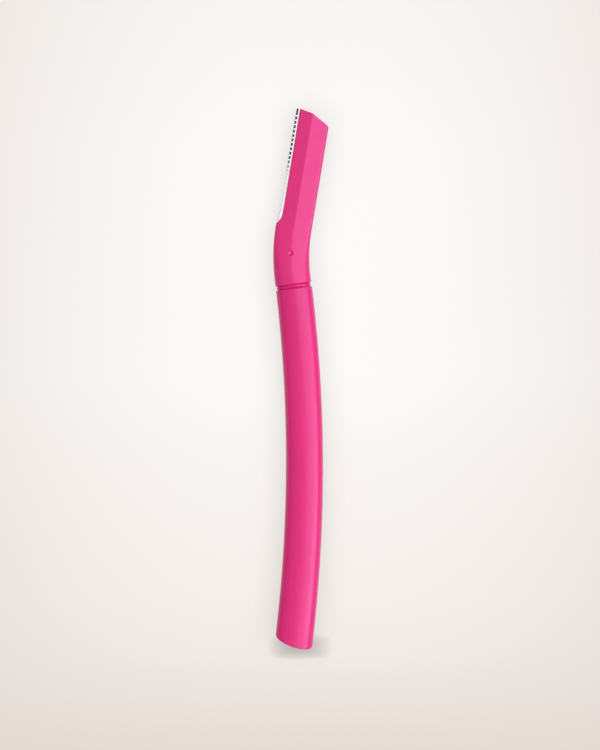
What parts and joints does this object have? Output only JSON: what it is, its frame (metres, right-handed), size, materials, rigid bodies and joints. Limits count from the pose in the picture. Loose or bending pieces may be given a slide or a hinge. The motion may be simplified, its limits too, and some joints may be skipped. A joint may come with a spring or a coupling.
{
  "type": "eyebrow razor",
  "caption": "Slim face and eyebrow razor: bent oval grip, recessed ring, slanted faceted head holding a straight blade behind a slotted comb guard.",
  "frame": {"origin": "middle of the flat on the underside of the grip, on which the razor lies", "axes": "+Y from the foot of the grip towards the tip of the head, +X towards the back of the head, away from the blade, +Z out of the front face"},
  "size_m": [0.0155, 0.1515, 0.0075],
  "materials": {
    "grip_plastic": "satin moulded, warm pink",
    "ring_plastic": "gloss moulded, warm pink",
    "head_plastic": "satin moulded, warm pink",
    "blade_steel": "ground strip steel with a honed bevel",
    "guard_steel": "bright rolled sheet, slotted and folded"
  },
  "bodies": {
    "root": {"handle": "grip_plastic", "neck_ring": "ring_plastic", "head_back": "head_plastic", "head_front": "head_plastic", "blade": "blade_steel", "guard": "guard_steel"}
  },
  "joints": []
}
